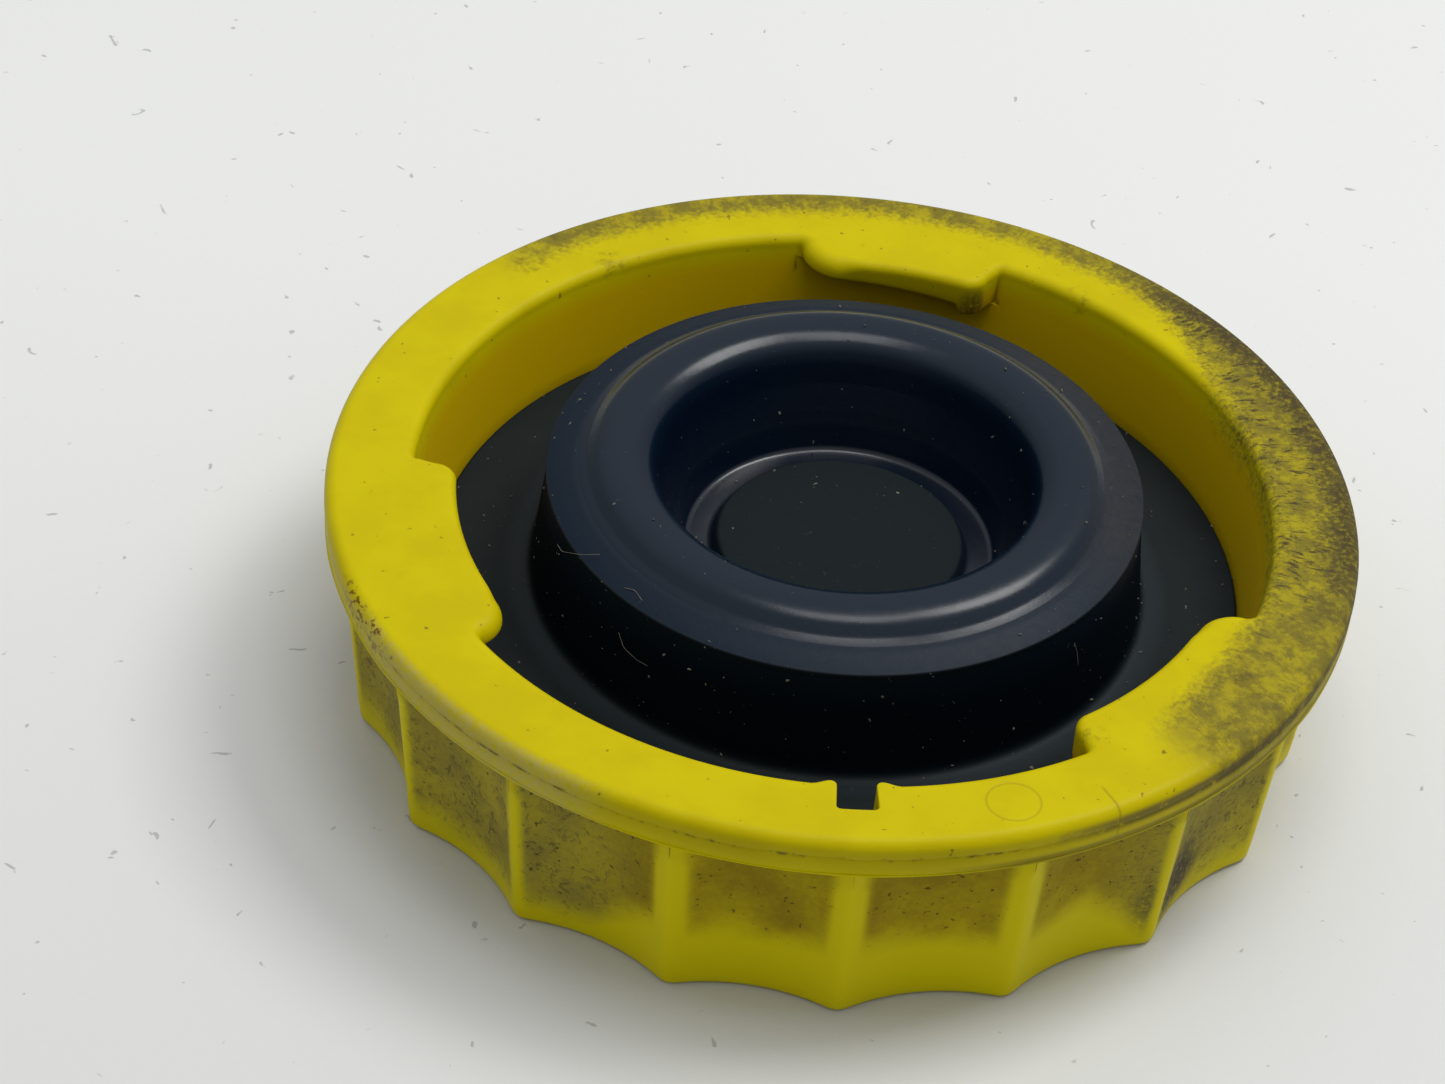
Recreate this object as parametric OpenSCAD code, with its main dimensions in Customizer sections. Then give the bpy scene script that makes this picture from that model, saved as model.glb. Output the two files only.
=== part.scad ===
// Quarter-turn reservoir cap with its rubber bellows diaphragm.
// The cap lies on its closed face: Z = 0 is that face, +Z is the axis, and the mouth opens upwards.
// Angles are counted anticlockwise from +X, looking down into the mouth. Millimetres throughout.

/* [Cap moulding] */
// Outer diameter of the band round the mouth
cap_od = 70; // [68:0.5:74]
// Height of the moulding, closed face to rim face
cap_h = 17.2; // [17:0.1:19]
// Diameter over the ridges at the closed face
base_od = 65; // [64:0.2:66]
// Height of the plain band above the flutes, its rounding included
band_h = 2.8; // [2:0.1:4]
// Rounding of the band's outer edge
rim_round = 1.5; // [0.5:0.1:1.8]
// Radius of the mouth
mouth_r = 29.1; // [28.6:0.1:29.6]
// Rounding of the mouth's edge
mouth_round = 1.1; // [0.4:0.1:1.4]
// Thickness of the closed face
floor_t = 2.6; // [2:0.1:3.2]
// Radius of the sunk panel in the closed face
panel_r = 23.5; // [18:0.5:25]
// Depth of the sunk panel
panel_deep = 0.6; // [0.2:0.1:0.9]

/* [Grip flutes] */
// Number of finger flutes round the skirt
flutes = 18; // [16:1:20]
// Radius of each hollow flute
flute_r = 14; // [11:0.5:18]
// Width of the ridge left between two flutes
ridge_w = 0.8; // [0.4:0.1:1.6]
// Angle of the first ridge
ridge_at = 15.3; // [0:0.1:20]

/* [Bayonet lugs] */
// Radius to the inner faces of the lugs
lug_r = 26.15; // [25.8:0.05:26.6]
// Thickness of a lug at its thin leading end
lug_thin = 1.5; // [1.2:0.1:2]
// Thickness of a lug at its thick end
lug_thick = 2.3; // [2.1:0.1:3]
// Height of the stop under a lug's thick end
stop_h = 0.7; // [0.4:0.1:1.2]
// Width of the stop, in degrees
stop_wide = 4; // [3:0.5:6]
// Rounding of the corners at a lug's thick end
lug_round_thick = 1.5; // [0.8:0.1:1.8]
// Rounding of the corner at a lug's thin leading end
lug_round_thin = 2.8; // [1.6:0.1:2.9]

/* [Vent slot] */
// Width of the slot that lets air past the seal
slot_w = 2.6; // [2:0.1:3.5]
// Radius to the slot's outer wall
slot_r = 31.7; // [30.6:0.1:31.9]
// Angle of the slot
slot_at = 275.3; // [265:0.1:285]

/* [Diaphragm] */
// Radius of the sealing flange
flange_r = 27.55; // [27.5:0.01:27.58]
// Depth of the flange's top below the rim face
flange_deep = 7.2; // [6.8:0.1:7.6]
// Thickness of the sealing flange
flange_t = 1.96; // [1.6:0.02:2.2]
// Radius of the bellows wall at its foot
bellows_foot_r = 20.8; // [20.6:0.1:21]
// Radius of the sharp edge at the top of the bellows wall
bellows_top_r = 20.2; // [20:0.1:20.4]
// Height of that edge above the rim face
edge_up = 1.1; // [0.9:0.1:1.3]
// Height of the crown's highest ring above the rim face
crown_up = 3.1; // [2.9:0.1:3.4]
// Thickness of the rubber
rubber_t = 1.25; // [1:0.05:1.4]

/* [Hidden] */
$fn = 144;
yellow = [0.93, 0.85, 0.06];
rubber = [0.07, 0.08, 0.10];
lug_mid = [200.2, 324.9, 85.3];
lug_wide = [37.6, 36.8, 28.4];
band_r = cap_od / 2;
base_r = base_od / 2;
base_round = 0.5;
band_z = cap_h - band_h;
flare_h = 2.6;
flare_in = 1.25;
pitch = 360 / flutes;
seat_r = flange_r + 0.05;
flange_z = cap_h - flange_deep;
seat_z = flange_z - flange_t - 0.02;
ledge_r = 24.4;
edge_z = cap_h + edge_up;
crown_z = cap_h + crown_up;
wall_top_z = cap_h + 1.3;
wall_top_r = 12.75;
cup_z = cap_h - 3.9;
cup_r = 10.9;
disc_z = cap_h - 3.85;
disc_r = 8.4;

// Points of an arc about [x, y]
function arc(x, y, r, from, to, n = 8) =
    [for (i = [0:n]) let (a = from + (to - from) * i / n) [x + r * cos(a), y + r * sin(a)]];

// A point given by radius and angle
function polar(r, a) = [r * cos(a), r * sin(a)];

// Radius over the ridges at height z, below the flare
function ridge_r(z) = base_r + (band_r - flare_in - base_r) * z / (band_z - flare_h);

// Distance from the axis to the centre line of a flute's hollow at height z
function flute_x(z) =
    let (half = ridge_r(z) * sin(pitch / 2) - ridge_w / 2)
    ridge_r(z) * cos(pitch / 2) + sqrt(flute_r * flute_r - half * half);

// Section of the cap before the flutes are cut
module cap_section() {
    polygon(concat(
        [[0, panel_deep], [panel_r, panel_deep], [panel_r + panel_deep, 0]],
        arc(base_r - base_round, base_round, base_round, -90, 0, 6),
        [[ridge_r(band_z - flare_h), band_z - flare_h]],
        [for (i = [1:5]) let (k = i / 6)
            [band_r - flare_in * pow(1 - k, 2), band_z - flare_h * (1 - k)]],
        [[band_r, band_z]],
        arc(band_r - rim_round, cap_h - rim_round, rim_round, 0, 90),
        arc(mouth_r + mouth_round, cap_h - mouth_round, mouth_round, 90, 180),
        [[seat_r, flange_z + 0.1], [seat_r, seat_z], [ledge_r, seat_z]],
        arc(ledge_r - 1, floor_t + 1, 1, 0, -90, 6),
        [[0, floor_t]]
    ));
}

// The hollows of all the finger flutes, stopping under the band
module flute_hollows() {
    lean = atan((flute_x(band_z) - flute_x(0)) / band_z);
    intersection() {
        for (i = [0:flutes - 1])
            rotate([0, 0, ridge_at + pitch * (i + 0.5)])
                translate([flute_x(0), 0, 0])
                    rotate([0, lean, 0])
                        translate([0, 0, -4])
                            cylinder(r = flute_r, h = cap_h + 8);
        translate([0, 0, -1])
            cylinder(r = band_r + 5, h = band_z + 1);
    }
}

// Outline of a lug from above: a stretch of ring with rounded inner corners
function lug_outline(wide) =
    let (
        out_r = mouth_r + 1,
        a = wide / 2,
        thick = [for (i = [0:6]) let (t = 15 * i)
            polar(lug_r + lug_round_thick * (1 - sin(t)),
                -a + lug_round_thick * (1 - cos(t)) / lug_r * 180 / PI)],
        inner = [for (i = [1:9]) polar(lug_r,
            -a + 4 + (wide - 10) * i / 10)],
        thin = [for (i = [0:6]) let (t = 90 - 15 * i)
            polar(lug_r + lug_round_thin * (1 - sin(t)),
                a - lug_round_thin * (1 - cos(t)) / lug_r * 180 / PI)]
    )
    concat([polar(out_r, -a)], thick, inner, thin,
        [polar(out_r, a)], [for (i = [1:7]) polar(out_r, a - wide * i / 8)]);

// One bayonet lug, flush with the rim face and tapering towards its leading end.
// Its thick end hangs lower, as the stop that the neck's lug meets when the cap is home.
module lug(wide) {
    run = 2 * lug_r * sin(wide / 2);
    lean = atan((lug_thick - lug_thin) / run);
    low_z = cap_h - lug_thick - stop_h;
    difference() {
        translate([0, 0, low_z])
            linear_extrude(height = lug_thick + stop_h)
                polygon(lug_outline(wide));
        difference() {
            translate([lug_r, 0, cap_h - (lug_thick + lug_thin) / 2])
                rotate([lean, 0, 0])
                    translate([-12, -20, -8])
                        cube([24, 40, 8]);
            rotate([0, 0, stop_wide - wide / 2])
                translate([20, -8, low_z - 1])
                    cube([12, 8, lug_thick]);
        }
    }
}

// Slot down the inside of the wall and under the seal, so that air reaches the space behind it
module vent_slot() {
    rotate([0, 0, slot_at]) {
        translate([mouth_r - 4, -slot_w / 2, seat_z - 1.6])
            cube([slot_r - mouth_r + 4, slot_w, cap_h]);
        translate([ledge_r - 2, -slot_w / 2, seat_z - 1.6])
            cube([6, slot_w, 3]);
    }
}

// Fluted cap with the rim, the lugs, the seat for the seal and the vent slot
module cap_moulding() {
    color(yellow)
    difference() {
        union() {
            rotate_extrude() cap_section();
            for (i = [0:2])
                rotate([0, 0, lug_mid[i]]) lug(lug_wide[i]);
        }
        flute_hollows();
        vent_slot();
    }
}

// Sealing flange of the diaphragm, with the shallow line round the foot of the bellows wall
module seal_flange() {
    flange_low = flange_z - flange_t;
    color(rubber)
    rotate_extrude() polygon([
        [flange_r, flange_low], [flange_r, flange_z - 0.25], [flange_r - 0.25, flange_z],
        [bellows_foot_r + 2.4, flange_z], [bellows_foot_r + 2.1, flange_z - 0.15],
        [bellows_foot_r + 1.3, flange_z - 0.15], [bellows_foot_r + 1.1, flange_z],
        [bellows_foot_r - rubber_t, flange_z], [bellows_foot_r - rubber_t, flange_low]
    ]);
}

// Bellows wall and crown of the diaphragm
module bellows_wall() {
    shoulder_r = bellows_top_r - 1.4;
    bead_r = 16;
    color(rubber)
    rotate_extrude() polygon(concat(
        // Wall, sharp edge and sloping shoulder
        [[bellows_foot_r, flange_z], [bellows_top_r - 0.1, edge_z - 0.5]],
        [[bellows_top_r, edge_z], [shoulder_r, edge_z + 0.5]],
        // Rounded bead and the lip of the well
        [[bead_r + 1.75, edge_z + 1.1]],
        arc(bead_r - 0.2, crown_z - 1.5, 1.5, 45, 90, 4),
        arc(wall_top_r + 2.3, crown_z - 1.9, 1.9, 100, 170, 6),
        [[wall_top_r, wall_top_z], [wall_top_r + rubber_t, wall_top_z]],
        // Underside, one rubber thickness below
        [[wall_top_r + rubber_t + 0.7, crown_z - rubber_t - 0.6]],
        [[bead_r, crown_z - rubber_t - 0.3]],
        [[shoulder_r - 0.9, edge_z - rubber_t + 0.3]],
        [[bellows_top_r - rubber_t - 0.1, edge_z - rubber_t - 0.4]],
        [[bellows_foot_r - rubber_t, flange_z]]
    ));
}

// Wall of the well, which rolls as the cup travels
module rolling_wall() {
    color(rubber)
    rotate_extrude() polygon([
        [wall_top_r, wall_top_z], [wall_top_r - 0.7, cup_z + 2.6], [cup_r, cup_z],
        [cup_r + rubber_t, cup_z], [wall_top_r - 0.7 + rubber_t, cup_z + 2.6],
        [wall_top_r + rubber_t, wall_top_z]
    ]);
}

// Floor of the well: a flat disc in a ring-shaped groove
module centre_cup() {
    groove_z = disc_z - 0.75;
    color(rubber)
    rotate_extrude() polygon(concat(
        [[0, disc_z]],
        arc(disc_r - 0.4, disc_z - 0.4, 0.4, 90, 0, 4),
        [[disc_r + 0.1, groove_z], [disc_r + 0.9, groove_z - 0.1]],
        arc(cup_r - 1.2, cup_z - 0.1, 1.2, -70, 0, 5),
        [[cup_r, cup_z], [cup_r + rubber_t, cup_z]],
        arc(cup_r - 1.2, cup_z - 0.1, 1.2 + rubber_t, 0, -80, 6),
        [[disc_r - 0.6, disc_z - rubber_t], [0, disc_z - rubber_t]]
    ));
}

cap_moulding();
seal_flange();
bellows_wall();
rolling_wall();
centre_cup();
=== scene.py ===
# %% [markdown]
# # A quarter-turn reservoir cap with its rubber diaphragm
# The cap lies upside down, so its mouth and the diaphragm in it look up. The CAD model
# gives every size and place. This file gives the finished skin: the worn yellow
# moulding, the rubber one in it, the dust on the rubber, and the table, light and camera.
# Lengths are millimetres until a mesh is made, which turns them into metres. Only the
# table, the lamps and what the frame is told about the bodies are in metres.

import math
from types import SimpleNamespace

import bpy
import numpy as np
from mathutils import Matrix, Vector


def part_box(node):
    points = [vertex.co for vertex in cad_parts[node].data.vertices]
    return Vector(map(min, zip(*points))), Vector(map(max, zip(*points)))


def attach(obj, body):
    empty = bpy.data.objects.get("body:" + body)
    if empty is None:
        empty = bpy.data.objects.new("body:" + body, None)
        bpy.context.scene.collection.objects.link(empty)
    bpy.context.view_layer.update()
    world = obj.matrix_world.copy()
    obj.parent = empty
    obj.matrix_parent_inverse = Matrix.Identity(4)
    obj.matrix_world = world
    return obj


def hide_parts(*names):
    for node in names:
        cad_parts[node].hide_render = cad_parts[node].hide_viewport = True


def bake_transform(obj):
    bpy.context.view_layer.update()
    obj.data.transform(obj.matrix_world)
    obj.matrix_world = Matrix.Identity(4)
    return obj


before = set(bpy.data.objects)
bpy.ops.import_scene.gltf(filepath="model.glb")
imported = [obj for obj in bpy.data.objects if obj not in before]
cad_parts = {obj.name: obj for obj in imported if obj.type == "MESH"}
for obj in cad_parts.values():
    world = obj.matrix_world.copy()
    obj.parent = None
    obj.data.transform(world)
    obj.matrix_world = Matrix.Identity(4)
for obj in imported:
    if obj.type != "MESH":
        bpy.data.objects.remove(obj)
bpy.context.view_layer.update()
MM = 0.001


def node_box(name):
    """Lowest and highest corner of a CAD node, in millimetres."""
    low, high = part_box(name)
    return np.array(low) / MM, np.array(high) / MM


cap_high = node_box("cap_moulding")[1]
flange_bottom, flange_top = node_box("seal_flange")
rim_z, band_r = cap_high[2], cap_high[0]
crown_z = node_box("bellows_wall")[1][2]
flange_low, flange_z, flange_r = flange_bottom[2], flange_top[2], flange_top[0]
print(f"rim face at {rim_z:.1f} mm, band radius {band_r:.1f} mm, crown at {crown_z:.1f} mm")

# %% [markdown]
# ## Small helpers for node trees
# A material or a Geometry Nodes tree is a list of boxes joined by lines. Written out
# socket by socket it is long, so this small class adds a node, sets its inputs and joins
# it in one call. An input is either a plain value or another node's output.


# %% Tree helper
class Tree:
    """Adds nodes to a tree and joins them."""

    def __init__(self, tree):
        self.tree = tree

    def add(self, kind, inputs=(), out=0, **settings):
        """A node of that kind. inputs maps a socket's name or number to a value or an output."""
        node = self.tree.nodes.new(kind)
        for name, value in settings.items():
            setattr(node, name, value)
        for key, value in dict(inputs).items():
            self.feed(node.inputs[key], value)
        return None if out is None else node.outputs[out]

    def feed(self, socket, value):
        """Joins another node's output to a socket, or sets the socket to a plain value."""
        if isinstance(value, bpy.types.NodeSocket):
            self.tree.links.new(value, socket)
        else:
            socket.default_value = value

    def math(self, operation, *values, clamp=False):
        kind = "ShaderNodeMath"
        return self.add(kind, dict(enumerate(values)), operation=operation, use_clamp=clamp)

    def fade(self, value, start, end):
        """0 before start, 1 after end, and smooth between them."""
        lo, hi = (start, end) if start < end else (end, start)
        span = {"Value": value, "From Min": lo, "From Max": hi}
        if start > end:
            span["To Min"], span["To Max"] = 1.0, 0.0
        return self.add("ShaderNodeMapRange", span, interpolation_type="SMOOTHSTEP")

    def near(self, value, middle, outer, inner):
        """1 where the value is within inner of the middle, and 0 beyond outer."""
        off = self.math("ABSOLUTE", self.math("SUBTRACT", value, middle))
        return self.fade(off, outer, inner)

    def times(self, *values):
        """Several masks multiplied together."""
        product = values[0]
        for value in values[1:]:
            product = self.math("MULTIPLY", product, value)
        return product

    def most(self, *values):
        """The highest of several masks."""
        top = values[0]
        for value in values[1:]:
            top = self.math("MAXIMUM", top, value)
        return top

    def noise(self, place, scale, detail=4.0, rough=0.55, out="Fac", **more):
        sizes = {"Vector": place, "Scale": scale, "Detail": detail, "Roughness": rough}
        return self.add("ShaderNodeTexNoise", {**sizes, **more}, out=out)

    def mix(self, share, first, second):
        """A colour between two colours."""
        node = self.tree.nodes.new("ShaderNodeMix")
        node.data_type = "RGBA"
        self.feed(node.inputs[0], share)
        for number, colour in ((6, first), (7, second)):
            plain = not isinstance(colour, bpy.types.NodeSocket)
            self.feed(node.inputs[number], (*colour, 1.0) if plain else colour)
        return node.outputs[2]

    def coats(self, colour, layers):
        """The colour under several layers, each a mask, its strength and its own colour."""
        for mask, strength, layer in layers:
            colour = self.mix(self.times(mask, strength), colour, layer)
        return colour

    def parts(self, place):
        """x, y and z of a place, and its distance from the axis."""
        x, y, z = self.add("ShaderNodeSeparateXYZ", {0: place}).node.outputs[:3]
        squares = self.math("ADD", self.math("MULTIPLY", x, x), self.math("MULTIPLY", y, y))
        return x, y, z, self.math("SQRT", squares)


# %% [markdown]
# ## The camera
# The camera comes first, so that every look at the model is from where it will be seen:
# nearly 39 degrees above the table, with a long lens and a slight roll to the left.

# %% Camera
camera_height = math.radians(38.61)
camera_away = 348.3
turned_right, tilted_up, rolled = (math.radians(a) for a in (-1.285, -0.691, 5.895))


def camera_axes():
    """Right, up and forward of the camera, turned, tilted and rolled from the level view."""
    right = np.array([1.0, 0, 0])
    forward = np.array([0, math.cos(camera_height), -math.sin(camera_height)])
    up = np.array([0, math.sin(camera_height), math.cos(camera_height)])
    c, s = math.cos(turned_right), math.sin(turned_right)
    right, forward = right * c - forward * s, right * s + forward * c
    c, s = math.cos(tilted_up), math.sin(tilted_up)
    up, forward = up * c - forward * s, up * s + forward * c
    c, s = math.cos(rolled), math.sin(rolled)
    return right * c + up * s, up * c - right * s, forward


camera_data = bpy.data.cameras.new("camera")
camera_data.lens = 128.43
camera_data.sensor_width = 36.0
camera_data.clip_start = 0.01
camera = bpy.data.objects.new("camera", camera_data)
bpy.context.scene.collection.objects.link(camera)
right, up, forward = camera_axes()
level = math.cos(camera_height) * camera_away
stand = np.array([0, -level, rim_z + math.sin(camera_height) * camera_away]) * MM
camera.matrix_world = Matrix(
    [[right[i], up[i], -forward[i], stand[i]] for i in range(3)] + [[0, 0, 0, 1]]
)
bpy.context.scene.camera = camera
print(f"camera {camera_away:.0f} mm from the middle of the mouth, lens {camera_data.lens:.0f} mm")

# %% [markdown]
# ## The mouth of the cap
# Seen from above, the inside of the cap is one closed line: the round wall, three lugs
# that stand in from it, and a slot that is cut out of it. The line could be cut with
# booleans, but a boolean leaves hard corners with no rounding. Here the line is drawn
# once, point by point, and the rounded edges are offsets of it.

# %% Outline of the mouth
mouth_r, lug_r, slot_r = 29.1, 26.15, 31.7
lugs = {"back": (71.1, 99.5), "left": (181.4, 219.0), "right": (306.5, 343.3)}
slot_at, slot_half = 275.3, 1.3
ROOT_ROUND, THICK_ROUND, THIN_ROUND = 0.3, 1.5, 2.6
ENTRY_ROUND, SLOT_ROUND = 0.4, 0.3
# The radii at which lengths along the slot and the lugs are turned into angles
slot_scale_r, lug_scale_r = 30.4, 28.0


def quarter(x, y, r, start, n=14):
    """Points of a quarter circle round (x, y), anticlockwise from the angle start."""
    t = np.radians(start + np.linspace(0, 90, n))
    return np.stack([x + r * np.cos(t), y + r * np.sin(t)], 1)


def lug_end(corner):
    """How a lug starts: along the wall in x, and how far in it stands in y."""
    deep = mouth_r - lug_r
    lean = 0.3 * (deep - corner - ROOT_ROUND)
    root = quarter(-ROOT_ROUND, ROOT_ROUND, ROOT_ROUND, -90)
    nose = quarter(corner + lean, deep - corner, corner, 90)[::-1]
    return np.vstack([root, nose])


def slot_side():
    """How the slot starts: a rounded entry, the side, and the round in its corner."""
    deep = slot_r - mouth_r
    entry = quarter(-slot_half - ENTRY_ROUND, -ENTRY_ROUND, ENTRY_ROUND, 0)[::-1]
    corner = quarter(-slot_half + SLOT_ROUND, SLOT_ROUND - deep, SLOT_ROUND, 180)
    return np.vstack([entry, corner])


def mouth_line():
    """Angle in degrees and standing-in of every corner point, anticlockwise round the mouth."""
    line = [(0.0, 0.0)]
    for name in ("back", "left", "slot", "right"):
        if name == "slot":
            side, per_mm = slot_side(), math.degrees(1 / slot_scale_r)
            low, high, ends = slot_at, slot_at, (side, side[::-1])
        else:
            per_mm = math.degrees(1 / lug_scale_r)
            low, high = lugs[name]
            ends = lug_end(THICK_ROUND), lug_end(THIN_ROUND)[::-1]
        line += [(low + x * per_mm, y) for x, y in ends[0]]
        line += [(high - x * per_mm, y) for x, y in ends[1]]
    return np.array(line + [(360.0, 0.0)])


corners = mouth_line()
print(f"mouth outline drawn from {len(corners)} points")

# %% [markdown]
# ## Columns
# The whole cap is one net of columns, which run round the axis, and rows, which run from
# the middle of the closed face up the outside, over the rim and down the inside. Columns
# are crowded where the shape turns fast: at the lugs' ends and the slot on the inside,
# and at the ridges on the outside. On the flat rim they lean over from one spacing to
# the other, where nothing shows it.

# %% Column angles
COLUMNS = 720
flutes, first_ridge = 18, 15.3
FINE_STEP, SHORT_EDGE = 0.03, 2.6  # how finely the line is walked, and what counts as detail
PLAIN_COST, DETAIL_COST = 3, 6  # share of the columns away from detail, and what it adds
RIDGE_PULL = 0.72  # how strongly the outside columns gather at the ridges


def soften(values, reach):
    """Values round a full turn, blurred over about that many radians."""
    waves = np.fft.rfft(values)
    waves *= np.exp(-0.5 * (np.arange(len(waves)) * reach) ** 2)
    return np.fft.irfft(waves, len(values))


def crowd_columns(line):
    """Angle and standing-in of each column on the mouth, and its angle on the outside."""
    angle, inward, fine = [], [], []
    for (a0, y0), (a1, y1) in zip(line[:-1], line[1:]):
        length = math.hypot(math.radians(a1 - a0) * lug_scale_r, y1 - y0)
        t = np.linspace(0, 1, max(2, int(length / FINE_STEP)), endpoint=False)
        angle.append(a0 + (a1 - a0) * t)
        inward.append(y0 + (y1 - y0) * t)
        fine.append(np.full(len(t), float(length < SHORT_EDGE)))
    angle, inward, fine = (np.concatenate(v) for v in (angle, inward, fine))
    r = mouth_r - inward
    x, y = r * np.cos(np.radians(angle)), r * np.sin(np.radians(angle))
    step = np.hypot(np.diff(x, append=x[0]), np.diff(y, append=y[0]))
    kernel = np.exp(-np.linspace(-3, 3, 121) ** 2 / 2)
    near = np.convolve(np.tile(fine, 3), kernel / kernel.sum(), "same")[len(fine):2 * len(fine)]
    cost = np.concatenate([[0], np.cumsum(step * (PLAIN_COST + DETAIL_COST * near))])
    share = cost / cost[-1]
    wanted = np.arange(COLUMNS) / COLUMNS
    on_mouth = np.interp(wanted, share, np.append(angle, 360))
    stands_in = np.interp(wanted, share, np.append(inward, 0))
    # The same crowding on the outside, softened, then pulled towards the ridges
    grid = np.arange(0, 360, 0.25)
    extra = np.interp(grid, np.append(angle, 360), share) - grid / 360
    extra = soften(extra, math.radians(7))
    smooth = grid / 360 + extra - extra[0]
    outside = np.interp(wanted, np.append(smooth, 1), np.append(grid, 360))
    pull = np.sin(np.radians(flutes * (outside - first_ridge)))
    outside -= RIDGE_PULL / flutes * np.degrees(pull)
    return on_mouth, stands_in, outside


mouth_a, stands_in, outer_a = crowd_columns(corners)


def polar(r, degrees):
    """Points at radius r and angle in degrees, as an array of x, y."""
    a = np.radians(degrees)
    return np.stack([r * np.cos(a), r * np.sin(a)], -1)


def ease(x):
    """0 below 0, 1 above 1, smooth between."""
    x = np.clip(x, 0, 1)
    return x * x * (3 - 2 * x)


even = np.arange(COLUMNS) * 360 / COLUMNS
# The crowding is softened for the wall under the lugs, but not at the slot
hidden_a = soften(mouth_a - even, math.radians(3.5)) + even
near_slot = 1 - ease((np.abs(mouth_a - slot_at) - 3) / 2)
wall_a = near_slot * mouth_a + (1 - near_slot) * hidden_a
never_cross = (np.diff(wall_a) >= 0).all() and (np.diff(hidden_a) > 0).all()
print(f"columns never cross: {bool(never_cross)}")

# %% [markdown]
# ## Rows of the cap
# Each row is one ring of points. The outside rows are circles here, and a Geometry Nodes
# tree presses the flutes into them later. For that, each point carries three numbers:
# how much of the flute it takes, the radius over the ridges at its height, and how far
# it is into the flare under the band.

# %% Sizes of the cap and one row
floor_t, panel_r, panel_deep = 2.6, 23.5, 0.6
base_r, base_round = 32.5, 0.5
band_z, flare_h, flare_in = rim_z - 2.8, 2.6, 1.25
rim_round, fold_down = 0.9, 1.35
mouth_round, lug_edge, nose_edge, slot_edge = 0.8, 0.65, 1.15, 0.12
lug_deep, lug_taper, under_round, below_lugs = 2.3, 0.8, 0.3, 3.6
stop_deep, stop_degrees = 0.7, 3.6
middle_r, seat_r, ledge_r, ledge_z = 32.3, flange_r + 0.05, 24.4, 3.6
seat_gap, channel_deep = 0.02, 1.6
cap_rows, cap_weights = [], []


def add_row(xy, z, takes=0.0, girth=0.0, flare=0.0):
    """One ring of the cap, with what the flute tree needs to know about it."""
    cap_rows.append(np.column_stack([xy, np.broadcast_to(z, COLUMNS)]))
    cap_weights.append(np.tile([takes, girth, flare], (COLUMNS, 1)))


def outside_girth(z):
    """Radius over the ridges at height z, with the flare up to the band."""
    straight = base_r + (band_r - flare_in - base_r) * z / (band_z - flare_h)
    flared = band_r - flare_in * (np.clip(band_z - z, 0, flare_h) / flare_h) ** 2
    return straight if z < band_z - flare_h else flared


# %% Rows of the closed face, the flutes and the band


def closed_face_rows():
    """The gate mark, the sunk panel, the flat ring round it and the rounded foot."""
    deep = panel_deep
    for r, z in ((0.5, deep), (1.2, deep), (1.4, deep - 0.1), (1.9, deep - 0.1), (2.1, deep),
                 (5, deep), (12, deep), (18, deep), (22.6, deep), (23.2, deep - 0.03),
                 (panel_r, deep - 0.12), (panel_r + 0.4, 0.1), (panel_r + 0.6, 0.02),
                 (panel_r + 0.9, 0), (26, 0)):
        add_row(polar(r, outer_a), z)
    for r, takes in ((28, 0.25), (29.6, 0.55), (31, 0.85), (31.7, 1)):
        add_row(polar(r, outer_a), 0, takes, base_r)
    for t in np.radians(np.linspace(0, 90, 5)):
        r = base_r - base_round + base_round * math.sin(t)
        add_row(polar(r, outer_a), base_round * (1 - math.cos(t)), 1, base_r)


def fluted_rows():
    """The straight part of the flutes, their flare, and their closing under the band."""
    top = band_z - flare_h
    flared = top + flare_h * np.array([0.06, 0.2, 0.34, 0.48, 0.6, 0.7, 0.79, 0.86])
    for z in [1.5, 3, 5, 7, 9, 10.5, top - 0.3, *flared]:
        girth = outside_girth(z)
        add_row(polar(girth, outer_a), z, 1, girth, max(0, (z - top) / flare_h))
    for down, takes in ((0.26, 0.96), (0.17, 0.86), (0.1, 0.68), (0.05, 0.45), (0.02, 0.22),
                        (0, 0.03)):
        girth = outside_girth(band_z - down)
        add_row(polar(girth, outer_a), band_z - down, takes, girth, 1)


def band_rows():
    """The plain band, the shallow wavy fold round it, and the rounding up to the rim."""
    fold_z = rim_z - fold_down
    wave = 0.035 * np.sin(np.radians(23 * outer_a))
    wave += 0.03 * np.sin(np.radians(57 * outer_a + 40))
    for r, z in ((-0.18, band_z + 0.06), (-0.11, band_z + 0.2), (-0.1, fold_z - 0.5)):
        add_row(polar(band_r + r, outer_a), z)
    for r, z in ((-0.09, -0.12), (-0.11, -0.05), (-0.12, 0.0), (-0.04, 0.05), (0, 0.12)):
        add_row(polar(band_r + r, outer_a), fold_z + z + wave)
    for t in np.radians(np.linspace(10, 90, 9)):
        r = band_r - rim_round + rim_round * math.cos(t)
        add_row(polar(r, outer_a), rim_z - rim_round + rim_round * math.sin(t))


# %% [markdown]
# ### Rows of the rim and the mouth
# From the rim inwards the rows follow the line of the mouth, not circles. The rounded
# edge is offset outwards from that line, and its rounding differs from column to column,
# so that the thin ends of the lugs are soft and the slot is crisp. Below the edge each
# column is a blend of plain wall, lug and slot.

# %% Rows of the rim


def wall_r(z):
    """Radius of the wall inside the mouth, which narrows towards the seal."""
    low = flange_z + 0.1
    share = (np.maximum(z, low) - low) / (rim_z - mouth_round - low)
    return seat_r + (mouth_r - seat_r) * share


def steady(angles):
    """The angles with every backward step evened out, so that they never turn back."""
    turns = np.concatenate([angles - 360, angles, angles + 360])
    ahead = np.maximum.accumulate(turns)
    behind = np.minimum.accumulate(turns[::-1])[::-1]
    return ((ahead + behind) / 2)[COLUMNS:2 * COLUMNS]


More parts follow.
